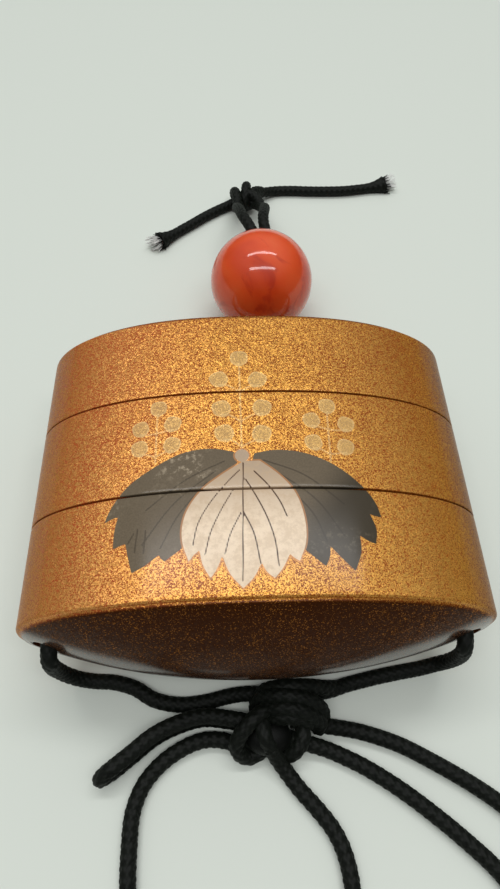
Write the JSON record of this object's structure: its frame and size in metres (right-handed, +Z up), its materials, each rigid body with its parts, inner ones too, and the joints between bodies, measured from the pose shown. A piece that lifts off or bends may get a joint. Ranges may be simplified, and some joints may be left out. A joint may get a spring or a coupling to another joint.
{
  "type": "inro case",
  "caption": "Small stacked lacquer case on a braided cord with a round stone bead, lying on its back.",
  "frame": {"origin": "on the surface the case lies on, under the middle of the case without its cord and bead", "axes": "+X across the case's width, +Y along it from the bottom end to the lid, +Z up out of the decorated side"},
  "size_m": [0.0722, 0.1424, 0.025],
  "materials": {
    "gold_lacquer": "gloss lacquer over fine gold flake",
    "red_stone": "polished, cloudy orange-red stone",
    "black_braid": "matt braided cord"
  },
  "bodies": {
    "root": {"lid": "gold_lacquer", "middle_case": "gold_lacquer", "bottom_case": "gold_lacquer", "bead": "red_stone", "top_knot": "black_braid", "bow_knot": "black_braid", "cord_left": "black_braid", "cord_right": "black_braid", "bow_bight": "black_braid", "bow_loop": "black_braid", "tail_loop": "black_braid", "tail_end_left": "black_braid", "tail_end_right": "black_braid"}
  },
  "joints": []
}
